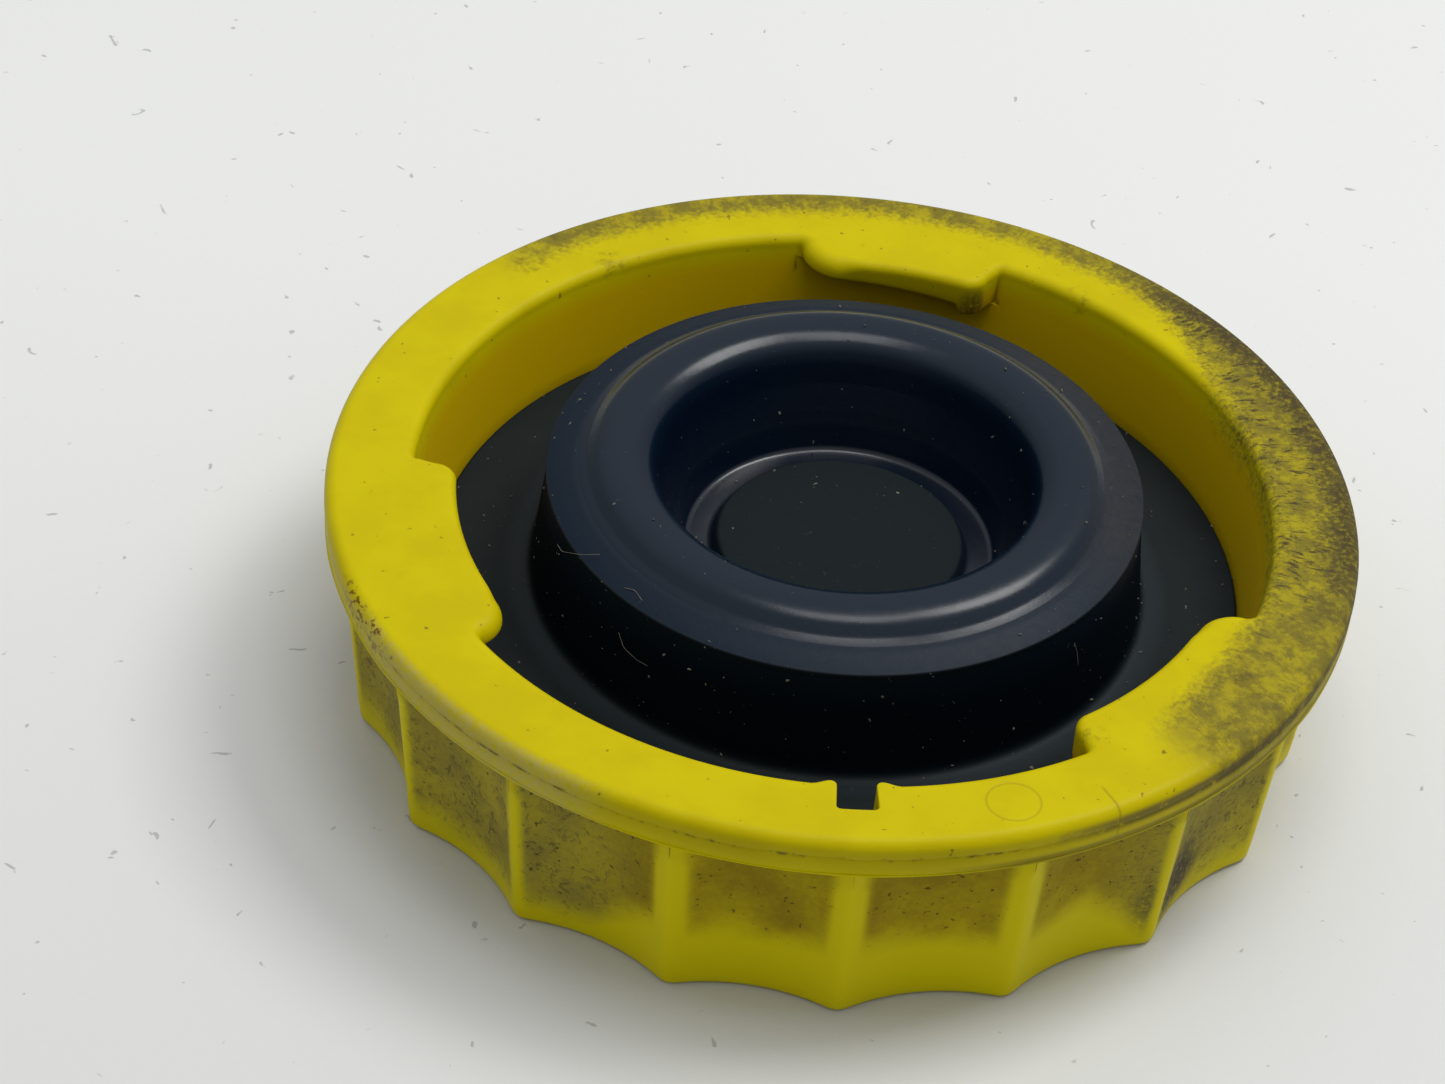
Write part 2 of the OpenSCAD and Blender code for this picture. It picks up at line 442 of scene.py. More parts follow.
def edge_rounding():
    """Rounding of the mouth's edge at each column: wide at thin ends, tight at the slot."""
    on_side = np.full(COLUMNS, lug_edge)
    for low, high in lugs.values():
        near_thin_end = ease((mouth_a - high + 9) / 4) * (mouth_a < high + 3)
        on_side += (nose_edge - lug_edge) * near_thin_end
    edge = mouth_round + (on_side - mouth_round) * ease(stands_in / 0.5)
    off_slot = ease((np.abs(mouth_a - slot_at) - 3.2) / 2.5)
    return edge + (slot_edge - edge) * (1 - off_slot)


def rim_rows():
    """The flat rim and the rounded edge of the mouth. Gives the mouth's line back."""
    edge = edge_rounding()
    line = polar(mouth_r - stands_in, mouth_a)
    along = np.roll(line, -1, 0) - np.roll(line, 1, 0)
    away = np.stack([along[:, 1], -along[:, 0]], 1) / np.linalg.norm(along, axis=1)[:, None]
    start = line + away * edge[:, None]
    start_a = steady(np.degrees(np.unwrap(np.arctan2(start[:, 1], start[:, 0]))))
    middle_a = 0.94 * start_a + 0.06 * hidden_a
    for t in (0.35, 0.7, 1):
        r = band_r - rim_round + (middle_r - band_r + rim_round) * t
        add_row(polar(r, outer_a + (middle_a - outer_a) * t), rim_z)
    middle = polar(middle_r, middle_a)
    for t in (0.3, 0.6, 0.86):
        add_row(middle + (start - middle) * t, rim_z)
    for t in np.radians(np.linspace(0, 90, 8)):
        outwards = away * (edge * (1 - math.sin(t)))[:, None]
        add_row(line + outwards, rim_z - edge * (1 - math.cos(t)))
    return line, away, edge


# %% Rows of the lugs, the wall and the seat


def lug_depths():
    """How deep each column of a lug is: a taper, with the stop at the thick end."""
    deep = np.full(COLUMNS, lug_deep)
    for low, high in lugs.values():
        on = (mouth_a > low - 3) & (mouth_a < high + 3)
        taper = lug_deep - lug_taper * np.clip((mouth_a - low) / (high - low), 0, 1)
        stop = stop_deep * (1 - ease((mouth_a - low - stop_degrees) / 0.8))
        deep = np.where(on, taper + stop, deep)
    return deep


def lug_rows(line, away, edge):
    """The sides and undersides of the lugs, with plain wall and slot between them."""
    deep, is_lug = lug_depths(), ease(stands_in / 0.25)[:, None]
    in_slot = np.clip(-stands_in / (slot_r - mouth_r), 0, 1)
    # Down the lug's side, round its lower edge, then back along its underside to the wall
    steps = [(0, down, 0) for down in (0.35, 0.7, 1)]
    steps += [(round_to, 1, 0) for round_to in (30, 60, 90)]
    steps += [(90, 1, back) for back in (0.3, 0.65, 1)]
    for k, (round_to, down, back) in enumerate(steps):
        t = math.radians(round_to)
        plain_z = rim_z - edge - (k + 1) / (len(steps) + 1) * (below_lugs - edge)
        lug_z = rim_z - edge - (deep - edge - under_round) * down - under_round * math.sin(t)
        r = wall_r(plain_z) + (slot_r - wall_r(plain_z)) * in_slot
        plain = polar(r, mouth_a + (wall_a - mouth_a) * back)
        inner = line + away * under_round * (1 - math.cos(t))
        inner = inner + (polar(wall_r(lug_z), wall_a) - inner) * back
        z = plain_z + (lug_z - plain_z) * is_lug[:, 0]
        add_row(plain + (inner - plain) * is_lug, z)
    return in_slot, z


def wall_rows(in_slot, highest):
    """The wall inside the cap, from under the lugs down to the seal."""
    for t in (0.06, 0.16, 0.32, 0.5, 0.68, 0.84, 1):
        z = highest + (flange_z + 0.1 - highest) * t
        add_row(polar(wall_r(z) + (slot_r - wall_r(z)) * in_slot, wall_a), z)


def seat_rows(in_slot):
    """Seat for the seal, the channel in it, and the room behind the diaphragm."""
    seat_z = flange_low - seat_gap - channel_deep * in_slot
    add_row(polar(seat_r + (slot_r - seat_r) * in_slot, wall_a), seat_z)
    for r, z in ((ledge_r, seat_z), (ledge_r, ledge_z), (ledge_r - 0.3, 2.9),
                 (ledge_r - 1, floor_t), (14, floor_t), (5, floor_t)):
        add_row(polar(r, hidden_a), z)


# %% All the rows in order
closed_face_rows()
fluted_rows()
band_rows()
in_slot, lug_bottom = lug_rows(*rim_rows())
wall_rows(in_slot, lug_bottom)
seat_rows(in_slot)
print(f"{len(cap_rows)} rows of {COLUMNS} points")

# %% [markdown]
# ## From rows to a closed mesh
# Neighbouring rows are joined with four-sided faces, and one point closes each end. The
# mesh has to be closed and its faces have to look outwards, so the volume is measured:
# it comes out negative where they look inwards, and then every face is turned round.

# %% Net to mesh
SHARP = math.radians(50)


def net_mesh(name, rows, first=None, last=None):
    """A mesh from rings of points, closed at its ends by a point, or ring to ring without."""
    count, columns = len(rows), len(rows[0])
    verts = np.vstack(rows)
    a = np.arange(count - (first is not None))[:, None] * columns + np.arange(columns)
    b = (a // columns) * columns + (a + 1) % columns
    wrap = count * columns
    quads = np.stack([a, b, (b + columns) % wrap, (a + columns) % wrap], -1).reshape(-1, 4)
    faces = quads.tolist()
    if first is not None:
        verts = np.vstack([verts, [first, last]])
        end = (count - 1) * columns
        ring = range(columns)
        faces += [[(i + 1) % columns, i, wrap] for i in ring]
        faces += [[end + i, end + (i + 1) % columns, wrap + 1] for i in ring]
    mesh = bpy.data.meshes.new(name)
    mesh.from_pydata((verts * MM).tolist(), [], faces)
    if volume_of(mesh) < 0:
        mesh.flip_normals()
    mesh.shade_smooth()
    mesh.set_sharp_from_angle(angle=SHARP)
    return mesh


def volume_of(mesh):
    """Volume inside a closed mesh, in cubic millimetres."""
    mesh.calc_loop_triangles()
    co = np.zeros(len(mesh.vertices) * 3)
    mesh.vertices.foreach_get("co", co)
    tri = np.zeros(len(mesh.loop_triangles) * 3, np.int32)
    mesh.loop_triangles.foreach_get("vertices", tri)
    p = (co.reshape(-1, 3) / MM)[tri.reshape(-1, 3)]
    return float(np.einsum("ij,ij->i", p[:, 0], np.cross(p[:, 1], p[:, 2])).sum() / 6)


def new_piece(name, mesh):
    """An object for a mesh, in the scene, at the origin."""
    piece = bpy.data.objects.new(name, mesh)
    bpy.context.scene.collection.objects.link(piece)
    return piece


cap_mesh = net_mesh("cap_blank", cap_rows, (0, 0, panel_deep), (0, 0, floor_t))
weights = np.vstack(cap_weights + [np.zeros((2, 3))])
for column, (name, unit) in enumerate((("takes_flute", 1), ("girth", MM), ("flare", 1))):
    attribute = cap_mesh.attributes.new(name, "FLOAT", "POINT")
    attribute.data.foreach_set("value", (weights[:, column] * unit).astype(np.float32))
print(f"cap blank: {len(cap_mesh.polygons)} faces, {volume_of(cap_mesh):.0f} mm3")

# %% [markdown]
# ## Pressing the flutes with Geometry Nodes
# Eighteen equal flutes follow one rule, so they belong in a tree: for every point, find
# the angle to the middle of its flute, find how far from the axis the hollow's surface
# is at that angle and height, and pull the point in to it. A smooth minimum leaves the
# ridges rounded, as a mould does. The tree also notes where in its flute each point is,
# because the dirt that collects there follows the same rule.

# %% Flute tree


def new_tree(name, sockets):
    """An empty Geometry Nodes tree with named inputs, its helper, and its input node."""
    group = bpy.data.node_groups.new(name, "GeometryNodeTree")
    group.interface.new_socket("Geometry", in_out="INPUT", socket_type="NodeSocketGeometry")
    group.interface.new_socket("Geometry", in_out="OUTPUT", socket_type="NodeSocketGeometry")
    for socket, kind in sockets.items():
        group.interface.new_socket(socket, in_out="INPUT", socket_type="NodeSocket" + kind)
    return group, Tree(group), group.nodes.new("NodeGroupInput").outputs


def end_tree(tree, geometry, material):
    """Realises the instances, sets the material and joins the result to the tree's output."""
    real = tree.add("GeometryNodeRealizeInstances", {"Geometry": geometry})
    dressed = tree.add("GeometryNodeSetMaterial", {"Geometry": real, "Material": material})
    tree.add("NodeGroupOutput", {"Geometry": dressed}, out=None)


def apply_tree(piece, group, values):
    """Runs the tree on a piece with these inputs and keeps the result as a plain mesh."""
    modifier = piece.modifiers.new(group.name, "NODES")
    modifier.node_group = group
    for item in group.interface.items_tree:
        if item.in_out == "INPUT" and item.name in values:
            modifier[item.identifier] = values[item.name]
    graph = bpy.context.evaluated_depsgraph_get()
    mesh = bpy.data.meshes.new_from_object(
        piece.evaluated_get(graph), preserve_all_data_layers=True, depsgraph=graph)
    piece.modifiers.remove(modifier)
    piece.data = mesh
    return mesh


def flute_tree():
    group, tree, given = new_tree("press flutes", {
        "Flutes": "Int", "First ridge": "Float", "Hollow radius": "Float",
        "Hollow distance": "Float", "Hollow lean": "Float", "Ridge rounding": "Float",
        "Rounding under the band": "Float", "Material": "Material"})

    def kept(name):
        return tree.add("GeometryNodeInputNamedAttribute", {"Name": name}, data_type="FLOAT")

    x, y, z, radius = tree.parts(tree.add("GeometryNodeInputPosition"))
    pitch = tree.math("DIVIDE", 2 * math.pi, given["Flutes"])
    turned = tree.math("SUBTRACT", tree.math("ARCTAN2", y, x), given["First ridge"])
    half = tree.math("MULTIPLY", pitch, 0.5)
    side = tree.math("SUBTRACT", tree.math("FLOORED_MODULO", turned, pitch), half)
    away = tree.math("MULTIPLY_ADD", z, given["Hollow lean"], given["Hollow distance"])
    across = tree.math("MULTIPLY", away, tree.math("SINE", side))
    reach = tree.math("SUBTRACT", tree.math("POWER", given["Hollow radius"], 2.0),
                      tree.math("MULTIPLY", across, across))
    reach = tree.math("SQRT", reach)
    hollow = tree.math("SUBTRACT", tree.math("MULTIPLY", away, tree.math("COSINE", side)), reach)
    rounding = tree.math("MULTIPLY_ADD", tree.math("POWER", kept("flare"), 2.0),
                         given["Rounding under the band"], given["Ridge rounding"])
    girth = kept("girth")
    pressed = tree.math("SMOOTH_MIN", girth, hollow, rounding)
    deep = tree.math("MULTIPLY", tree.math("SUBTRACT", girth, pressed), kept("takes_flute"))
    never_zero = tree.math("MAXIMUM", radius, 1e-5)
    share = tree.math("SUBTRACT", 1.0, tree.math("DIVIDE", deep, never_zero))
    moved = tree.add("ShaderNodeCombineXYZ", {0: tree.math("MULTIPLY", x, share),
                                              1: tree.math("MULTIPLY", y, share), 2: z})
    shape = tree.add("GeometryNodeSetPosition", {"Geometry": given["Geometry"], "Position": moved})
    for name, value in (("flute_side", tree.math("DIVIDE", side, half)),
                        ("flute_deep", tree.math("DIVIDE", deep, MM))):
        shape = tree.add("GeometryNodeStoreNamedAttribute",
                         {"Geometry": shape, "Name": name, "Value": value}, data_type="FLOAT")
    end_tree(tree, shape, given["Material"])
    return group


# %% Pressing the flutes
hollow_r, ridge_wide = 14, 0.8


def hollow_distance(z):
    """From the axis to the middle of a flute's round hollow, so that a ridge is left."""
    girth = base_r + (band_r - flare_in - base_r) * z / (band_z - flare_h)
    half = girth * math.sin(math.pi / flutes) - ridge_wide / 2
    return girth * math.cos(math.pi / flutes) + math.sqrt(hollow_r ** 2 - half ** 2)


plastic = bpy.data.materials.new("yellow_plastic")
cap = new_piece("cap_moulding_finished", cap_mesh)
foot_distance = hollow_distance(0)
flute_inputs = {
    "Flutes": flutes, "First ridge": math.radians(first_ridge),
    "Hollow radius": hollow_r * MM, "Hollow distance": foot_distance * MM,
    "Hollow lean": (hollow_distance(band_z) - foot_distance) / band_z,
    "Ridge rounding": 0.45 * MM, "Rounding under the band": 1.3 * MM, "Material": plastic}
cap_mesh = apply_tree(cap, flute_tree(), flute_inputs)
cap_mesh.set_sharp_from_angle(angle=SHARP)
print(f"fluted cap: {len(cap_mesh.polygons)} faces, {volume_of(cap_mesh):.0f} mm3")

# %% [markdown]
# ## The rubber diaphragm
# The diaphragm is one moulding, but its middle travels up and down, so it is two meshes
# that meet in the crease beside the crown. Both are turned shapes: a profile, given by
# its corners and the rounding of each, is swept round the axis. The outer one is the
# sealing flange with the bellows wall. The inner one is the crown with the well.

# %% Turned profiles
RUBBER_COLUMNS = 320


def rounded(path, closed=False):
    """Points of a path of (radius, height, rounding) corners, each replaced by an arc."""
    path = [np.array(p, float) for p in path]
    points = []
    for i, here in enumerate(path):
        if not closed and i in (0, len(path) - 1):
            points.append(here[:2])
            continue
        before = path[i - 1][:2] - here[:2]
        after = path[(i + 1) % len(path)][:2] - here[:2]
        long_b, long_a = np.linalg.norm(before), np.linalg.norm(after)
        before, after = before / long_b, after / long_a
        bend = math.acos(np.clip(before @ after, -1, 1))
        cut = min(here[2] / math.tan(bend / 2), 0.48 * long_b, 0.48 * long_a)
        a, c = here[:2] + before * cut, here[:2] + after * cut
        n = max(3, int(math.degrees(math.pi - bend) / 9))
        for t in np.linspace(0, 1, n):
            points.append((1 - t) ** 2 * a + 2 * t * (1 - t) * here[:2] + t * t * c)
    return np.array(points)


def turned(name, profile, closed):
    """A mesh of the profile swept round the axis, closed on itself or at the axis."""
    turn = np.arange(RUBBER_COLUMNS) * 360 / RUBBER_COLUMNS
    inner = profile if closed else profile[1:-1]
    rows = [np.column_stack([polar(r, turn), np.full(RUBBER_COLUMNS, z)]) for r, z in inner]
    ends = () if closed else ((0, 0, profile[0][1]), (0, 0, profile[-1][1]))
    return net_mesh(name, rows, *ends)


# %% Skirt and crown
# Each corner is radius, height and rounding. H is the rim face, F the top of the flange.
H, F = rim_z, flange_z
skirt_profile = rounded([
    (flange_r, flange_low, 0.2), (flange_r, F, 0.3), (25.4, F, 0.3), (23.3, F, 0.5),
    (20.8, F - 0.04, 1.3), (20.7, F + 2, 3), (20.12, H + 0.6, 0.5), (20.22, H + 1.12, 0.14),
    (18.5, H + 1.68, 2.0), (17.3, H + 1.88, 0.5), (16.6, H + 1.8, 0.3), (16.4, H + 1.2, 0.3),
    (17.6, H + 0.7, 0.5), (18.7, H + 0.2, 0.6), (19.5, F + 1.5, 2), (19.6, flange_low, 0.2)],
    closed=True)
crown_profile = rounded([
    (0, H - 3.85, 0), (4, H - 3.85, 2), (8.3, H - 3.85, 0.4), (8.75, H - 4.8, 0.4),
    (10.6, H - 4.85, 0.6), (11.15, H - 3.3, 1.0), (11.6, H - 2.0, 2), (12.3, H - 0.2, 3),
    (12.75, H + 1.2, 1.5), (13.15, H + 2.35, 1.3), (14.2, H + 2.92, 1.6), (15.5, H + 3.1, 2.5),
    (16.7, H + 2.75, 1.6), (17.5, H + 2.05, 1.0), (18.15, H + 1.72, 0.05), (17.9, H + 1.5, 0.1),
    (16.9, H + 1.62, 0.5), (15.6, H + 1.95, 1), (14.3, H + 1.4, 1), (13.6, H - 0.6, 2),
    (12.7, H - 3.4, 2), (11.9, H - 5.6, 1), (9.9, H - 6.1, 0.9), (7.8, H - 5.15, 0.6),
    (4, H - 5.1, 1), (0, H - 5.1, 0)])
skirt = new_piece("diaphragm_skirt", turned("diaphragm_skirt", skirt_profile, True))
crown = new_piece("diaphragm_crown", turned("diaphragm_crown", crown_profile, False))
for piece in (skirt, crown):
    # Each point carries its height at rest, so that the finish stays on the rubber it is on
    rest = piece.data.attributes.new("rest_height", "FLOAT", "POINT")
    rest.data.foreach_set("value", [point.co.z / MM for point in piece.data.vertices])
    print(f"{piece.name}: {len(piece.data.polygons)} faces, {volume_of(piece.data):.0f} mm3")

# %% [markdown]
# ## Yellow plastic
# The plastic is one colour, but handling has changed it: grime sits in the upper part of
# every flute, in the fold of the band and round one side of the rim, where the rim is
# also scuffed. Painted light is laid on it as well: the sides are painted lighter than the
# rim face, the inside of the mouth gets painted shade with a warm bounce, and the fold and
# the strip under the band get painted shade along with their dirt. Each kind of dirt or
# painted light is a mask between 0 and 1, made from where the point is and broken up by
# noise. A flat colour would read as a toy. The helpers come first.

# %% Helpers for finishes


def surface_of(material):
    """Empties a material's tree and gives its helper back."""
    material.use_nodes = True
    material.node_tree.nodes.clear()
    return Tree(material.node_tree)


def finish_surface(tree, colour, roughness, height, bump, **sockets):
    """A principled shader with colour, roughness and bump from nodes and the rest as given."""
    rest = {name.replace("_", " "): value for name, value in sockets.items()}
    shader = tree.add("ShaderNodeBsdfPrincipled", rest).node
    dent = tree.add("ShaderNodeBump", {"Height": height, "Distance": bump, "Strength": 1.0})
    for name, value in (("Base Color", colour), ("Roughness", roughness), ("Normal", dent)):
        tree.tree.links.new(value, shader.inputs[name])
    tree.add("ShaderNodeOutputMaterial", {"Surface": shader.outputs[0]}, out=None)


def round_place(tree):
    """Object coordinates in millimetres, with radius, angle in degrees and height."""
    place = tree.add("ShaderNodeTexCoord", out="Object")
    place = tree.add("ShaderNodeVectorMath", {0: place, "Scale": 1 / MM}, operation="SCALE")
    x, y, z, radius = tree.parts(place)
    angle = tree.math("MULTIPLY", tree.math("ARCTAN2", y, x), 180 / math.pi)
    angle = tree.math("FLOORED_MODULO", angle, 360.0)
    return place, radius, angle, z


def spot(tree, place, at, size):
    """A round mask of that radius about a point, fading over its outer part."""
    away = tree.add("ShaderNodeVectorMath", {0: place, 1: at}, out="Value", operation="DISTANCE")
    return tree.fade(away, size, size * 0.4)


def at_angle(tree, angle, middle, half, soft):
    """1 within half degrees of an angle, fading to 0 over soft degrees more."""
    wrapped = tree.math("FLOORED_MODULO", tree.math("ADD", angle, 540.0 - middle), 360.0)
    return tree.near(wrapped, 180.0, half + soft, half)


def on_cap(tree):
    """What every mask of the plastic reads: the place on the cap, and three noises."""
    place, radius, angle, height = round_place(tree)
    return SimpleNamespace(
        place=place, radius=radius, angle=angle, height=height,
        top=tree.fade(height, rim_z - 3.2, rim_z - 1.2), brim=tree.fade(radius, 34.3, 34.8),
        cloud=tree.noise(place, 0.22, 3), fine=tree.noise(place, 2.4, 6, 0.7),
        grit=tree.noise(place, 5.5, 3, 0.6))


# %% [markdown]
# ### Grime in the flutes
# The grime lies between clean ridges, down to a clean strip at the foot. At both sides of
# the cap it is greyer, reaches lower and comes up to the ridges. The tree that pressed the
# flutes left two numbers at each point, which say where in its flute the point is, so the
# grime follows the flutes exactly.

# %% Grime in the flutes


def flute_dirt(tree, at):
    """How grey it is, and masks of the grime, its flecks and rubs, and one dark patch."""
    flute_side, flute_deep = (
        tree.add("ShaderNodeAttribute", attribute_name=name, out="Fac")
        for name in ("flute_side", "flute_deep"))
    greyer = tree.most(at_angle(tree, at.angle, 344, 28, 12),
                       at_angle(tree, at.angle, 212, 30, 12))
    side = tree.math("MULTIPLY_ADD", greyer, -0.12, tree.math("ABSOLUTE", flute_side))
    in_flute = tree.fade(tree.math("ADD", flute_deep, tree.times(greyer, 0.3)), 0.25, 0.6)
    ragged = tree.math("MULTIPLY_ADD", tree.math("SUBTRACT", at.cloud, 0.5), 2.4, at.height)
    ragged = tree.math("MULTIPLY_ADD", greyer, 3.6, ragged)
    patch = tree.times(in_flute, tree.fade(side, 0.92, 0.7), tree.fade(ragged, 4.2, 7.6),
                       tree.fade(at.height, band_z + 0.1, band_z - 0.6))
    smear = tree.fade(tree.math("MULTIPLY_ADD", at.fine, 0.55, at.cloud), 0.5, 1.0)
    grime = tree.times(patch, tree.math("MULTIPLY_ADD", smear, 0.3, 0.52))
    pepper = tree.fade(tree.noise(at.place, 2.2, 2, 0.5), 0.67, 0.71)
    specks = tree.times(tree.fade(at.grit, 0.64, 0.7), at.fine)
    flecks = tree.times(patch, tree.most(specks, pepper))
    rubs = tree.fade(tree.noise(at.place, 1.0, 6, 0.8, Distortion=1.2), 0.52, 0.62)
    rubs = tree.times(patch, greyer, rubs)
    # Darker low in one flute at the front right
    dark_flute_patch = tree.times(spot(tree, at.place, (*polar(31.2, 318.5), 4.0), 4.6),
                       tree.fade(at.fine, 0.3, 0.5), tree.fade(flute_deep, 0.05, 0.3))
    return greyer, grime, flecks, rubs, dark_flute_patch


# %% [markdown]
# ### The worn side of the rim
# On one side the rim has a brown film, with scars through it that run across the rim, and
# it is nearly black along its outer edge. The scars are noise that is stretched along the
# angle, so they follow the rim round.

# %% The worn side of the rim


def rim_wear(tree, at):
    """Masks of the film, the scars and the black edge."""
    scuffed = at_angle(tree, at.angle, 47, 84, 12)
    right_side = at_angle(tree, at.angle, 355, 28, 34)
    worst = at_angle(tree, at.angle, 22, 22, 26)
    out_here = tree.math("MULTIPLY_ADD", tree.math("SUBTRACT", at.fine, 0.5), 3.2, at.radius)
    outwards = tree.fade(tree.math("MULTIPLY_ADD", right_side, 3.4, out_here), 31.5, 33.6)
    here = tree.times(scuffed, at.top, outwards)
    across = tree.math("MULTIPLY_ADD", at.radius, 0.3, tree.math("MULTIPLY", at.angle, 0.95))
    strokes_at = tree.add("ShaderNodeCombineXYZ", {
        0: across, 1: tree.math("MULTIPLY", at.radius, 0.55), 2: at.height})
    strokes = tree.fade(tree.noise(strokes_at, 1.3, 6, 0.68, Distortion=0.5), 0.53, 0.62)
    scribble = tree.fade(tree.noise(strokes_at, 3.4, 4, 0.7), 0.56, 0.64)
    patches = tree.fade(tree.noise(at.place, 0.6, 6, 0.75), 0.38, 0.6)
    film = tree.times(here, tree.math("MULTIPLY_ADD", patches, 0.42, 0.5))
    scars = tree.times(here, tree.most(strokes, tree.times(scribble, 0.7)),
                       tree.math("MULTIPLY_ADD", worst, 0.65, 0.35))
    black = tree.times(worst, at.top, tree.fade(out_here, 31.4, 34.2),
                       tree.math("MULTIPLY_ADD", tree.fade(at.fine, 0.34, 0.54), 0.55, 0.4))
    return film, scars, black


# %% [markdown]
# ### Small marks
# Dirt has settled in the fold and under the band, and painted shade darkens both. The band's
# edge is rubbed pale at the left, with some rust on it, and there are a few smudges, each
# where a thing has touched.
# The faint marks come from moulding and use: the ring that an ejector pin left, specks in
# the plastic, and one fine scratch.

# %% Small marks


def band_dirt_and_shade(tree, at):
    """Masks of the dirt and painted shade along the band, the rust and the rubbed edge."""
    uneven = tree.noise(at.place, 0.7, 6, 0.75)
    # The fold line and the strip under the band are dirt with painted crease shade
    fold = tree.times(tree.near(at.height, rim_z - fold_down, 0.26, 0.06),
                      tree.fade(at.radius, 34.0, 34.4), tree.fade(uneven, 0.48, 0.62))
    in_fold = tree.times(at_angle(tree, at.angle, 330, 22, 18), tree.fade(uneven, 0.36, 0.5),
                         tree.near(at.height, rim_z - 1.2, 0.75, 0.3), at.brim)
    under_band = tree.times(at_angle(tree, at.angle, 330, 34, 16),
                            tree.near(at.height, band_z, 0.7, 0.3),
                            tree.fade(at.radius, 30.6, 31.4), 0.8)
    rust = tree.times(at_angle(tree, at.angle, 209.5, 4.0, 3.0), at.top, at.brim,
                      tree.fade(tree.noise(at.place, 2.4, 3, 0.6), 0.53, 0.6))
    rubbed = tree.times(at_angle(tree, at.angle, 228.0, 13.0, 9.0), at.brim,
                        tree.fade(at.height, band_z - 0.3, band_z),
                        tree.fade(at.fine, 0.35, 0.55))
    return tree.most(fold, in_fold, under_band), rust, rubbed


def small_marks(tree, at):
    """Masks of the smudges, the ejector-pin ring and all the faint marks together."""
    # Radius, angle and size of each smudge on the rim
    marks = ((29.0, 59.0, 1.5), (32.7, 136.8, 2.0), (29.8, 127.7, 1.6),
             (28.3, 308.0, 1.5), (34.0, 319.8, 2.4), (31.0, 330.0, 2.2))
    smudge = tree.most(*(spot(tree, at.place, (*polar(r, a), rim_z - 0.4), size)
                         for r, a, size in marks))
    smudge = tree.times(smudge, tree.fade(tree.noise(at.place, 1.1, 5, 0.75), 0.46, 0.62), 0.5)
    under_nose = tree.times(spot(tree, at.place, (*polar(26.0, 71.5), rim_z - 2.2), 2.2),
                            tree.fade(at.fine, 0.3, 0.5))
    pin_at, pin_r = (*polar(32.0, 293.3), rim_z), 1.75
    ring = tree.add("ShaderNodeVectorMath", {0: at.place, 1: pin_at}, out="Value",
                    operation="DISTANCE")
    ring = tree.near(ring, pin_r, 0.13, 0.03)
    specks = tree.times(tree.fade(tree.noise(at.place, 1.7, 2, 0.4), 0.73, 0.76), at.top)
    scratch = tree.times(at_angle(tree, at.angle, 303.9, 0.08, 0.16), at.top,
                         tree.fade(at.radius, 32.4, 33.0))
    faint = tree.most(tree.times(ring, 0.22), tree.times(specks, 0.7), tree.times(scratch, 0.35))
    return tree.most(smudge, under_nose), ring, faint


# %% [markdown]
# ### The plastic as a whole
# The clean yellow comes first. Painted light is laid on it: the sides are painted lighter
# than the rim face, and the inside of the mouth is painted a deeper, more orange yellow as
# shade with warm bounce light. Every kind of dirt is then laid over it in turn. Dirt also
# makes the surface rougher and a little uneven.

# %% Plastic


def dress_plastic():
    tree = surface_of(plastic)
    at = on_cap(tree)
    greyer, grime, flecks, rubs, dark_flute_patch = flute_dirt(tree, at)
    film, scars, black = rim_wear(tree, at)
    fold, rust, rubbed = band_dirt_and_shade(tree, at)
    smudge, ring, faint = small_marks(tree, at)
    # Painted shade and warm bounce light: the inside of the mouth is painted a deeper, more orange
    # yellow
    inside = tree.times(tree.fade(at.radius, 29.4, 28.9),
                        tree.fade(at.height, rim_z - 0.8, rim_z - 2.5))
    clean = tree.mix(tree.fade(at.cloud, 0.3, 0.7), (0.435, 0.355, 0.0), (0.475, 0.395, 0.0))
    colour = tree.coats(clean, (
        # Painted light: below the rim the sides are painted a lighter yellow than the rim face
        (tree.fade(at.height, rim_z - 1.5, rim_z - 4.0), 1.0, (0.64, 0.545, 0.0)),
        # Painted shade with warm bounce light inside the mouth
        (inside, 1.0, (0.45, 0.3, 0.0)),
        (film, 0.95, (0.13, 0.105, 0.02)),
        (grime, 1.0, tree.mix(greyer, (0.19, 0.115, 0.008), (0.165, 0.128, 0.042))),
        (rubbed, 0.4, (0.40, 0.35, 0.17)),
        (rubs, 0.6, (0.055, 0.045, 0.025)),
        (dark_flute_patch, 0.85, (0.03, 0.025, 0.03)),
        (rust, 0.85, (0.11, 0.035, 0.004)),
        (tree.most(flecks, smudge), 0.75, (0.045, 0.03, 0.01)),
        (tree.most(scars, black), 0.85, (0.035, 0.025, 0.02)),
        # Dirt with painted crease shade in the fold and under the band
        (fold, 0.7, (0.07, 0.05, 0.02)),
        (faint, 1.0, (0.12, 0.08, 0.01))))
    dirt = tree.most(grime, film, scars, black)
    rough = tree.math("MULTIPLY_ADD", at.fine, 0.1, 0.36)
    rough = tree.math("MULTIPLY_ADD", dirt, 0.25, rough)
    uneven = tree.times(at.fine, tree.math("MULTIPLY_ADD", dirt, 1.6, 0.3))
    relief = tree.math("MULTIPLY_ADD", at.grit, 0.25, uneven)
    relief = tree.math("SUBTRACT", relief, tree.math("MULTIPLY", ring, 0.6))
    finish_surface(tree, colour, rough, relief, 0.00004, Subsurface_Weight=0.12,
                   Subsurface_Scale=0.0015, Subsurface_Radius=(1.0, 0.8, 0.1), IOR=1.45,
                   Specular_IOR_Level=0.08)


dress_plastic()
print(f"plastic: {len(plastic.node_tree.nodes)} nodes")

